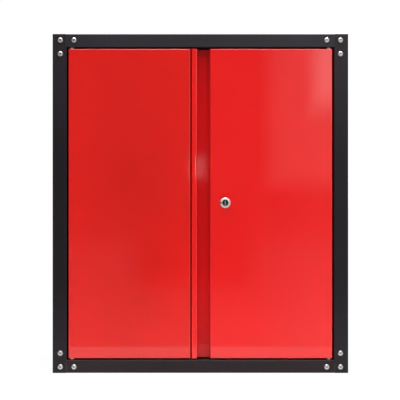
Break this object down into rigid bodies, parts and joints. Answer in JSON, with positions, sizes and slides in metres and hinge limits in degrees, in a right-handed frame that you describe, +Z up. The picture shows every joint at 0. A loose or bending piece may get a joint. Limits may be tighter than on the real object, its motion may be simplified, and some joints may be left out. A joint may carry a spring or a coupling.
{
  "type": "wall-mounted tool cabinet",
  "caption": "Wall-hung steel tool cabinet: black folded carcass, red pivot-hung doors, full-height recessed pull channel, round cam lock, and a tray shelf on slotted posts inside.",
  "frame": {"origin": "middle of the four wall bolts on the back face, which is the wall plane", "axes": "+Z up, +Y towards the wall, -Y out of the doors, +X to the viewer's right"},
  "size_m": [0.6, 0.2833, 0.6876],
  "materials": {
    "carcass": "satin powder coat",
    "doors": "gloss powder coat",
    "screws": "bright zinc",
    "zinc": "zinc plated",
    "nylon": "natural nylon",
    "rubber": "matt",
    "catch_plastic": "moulded",
    "lock_chrome": "polished",
    "lock_core": "satin"
  },
  "bodies": {
    "cabinet": {"left_side_panel": "carcass", "right_side_panel": "carcass", "top_panel": "carcass", "bottom_panel": "carcass", "back_panel": "carcass", "upper_left_corner_plate": "zinc", "upper_right_corner_plate": "zinc", "lower_left_corner_plate": "zinc", "lower_right_corner_plate": "zinc", "frame_screws": "screws", "frame_nuts": "zinc", "back_panel_screws": "zinc", "back_panel_nuts": "zinc", "upper_wall_bar": "carcass", "lower_wall_bar": "carcass", "front_left_shelf_post": "carcass", "rear_left_shelf_post": "carcass", "front_right_shelf_post": "carcass", "rear_right_shelf_post": "carcass", "shelf": "carcass", "shelf_clips": "zinc", "lock_keeper": "zinc", "keeper_rivets": "zinc", "upper_left_pivot_plate": "zinc", "upper_right_pivot_plate": "zinc", "lower_left_pivot_plate": "zinc", "lower_right_pivot_plate": "zinc", "upper_left_pivot_pin": "zinc", "upper_right_pivot_pin": "zinc", "lower_left_pivot_pin": "zinc", "lower_right_pivot_pin": "zinc", "door_buffers": "rubber", "left_door_catch": "catch_plastic", "right_door_catch": "catch_plastic", "left_catch_poles": "zinc", "right_catch_poles": "zinc", "catch_screws": "zinc"},
    "left_door": {"left_door_skin": "doors", "left_door_stiffener": "doors", "left_door_upper_bracket": "doors", "left_door_lower_bracket": "doors", "left_door_upper_bush": "nylon", "left_door_lower_bush": "nylon"},
    "right_door": {"right_door_skin": "doors", "right_door_stiffener": "doors", "right_door_upper_bracket": "doors", "right_door_lower_bracket": "doors", "right_door_upper_bush": "nylon", "right_door_lower_bush": "nylon", "grip_channel": "doors", "lock_housing": "lock_chrome", "lock_nut": "zinc"},
    "lock": {"lock_plug": "lock_core", "lock_cam": "zinc", "cam_nut": "zinc"}
  },
  "joints": [
    {"name": "left_door_hinge", "type": "hinge", "parent": "cabinet", "child": "left_door", "pos_m": [-0.261, -0.2727, 0], "axis": [0, 0, -1], "range_deg": [0, 110]},
    {"name": "right_door_hinge", "type": "hinge", "parent": "cabinet", "child": "right_door", "pos_m": [0.261, -0.2727, 0], "axis": [0, 0, 1], "range_deg": [0, 110]},
    {"name": "lock_turn", "type": "hinge", "parent": "right_door", "child": "lock", "pos_m": [0.0505, -0.2792, 0.0014], "axis": [0, -1, 0], "range_deg": [0, 90]}
  ]
}
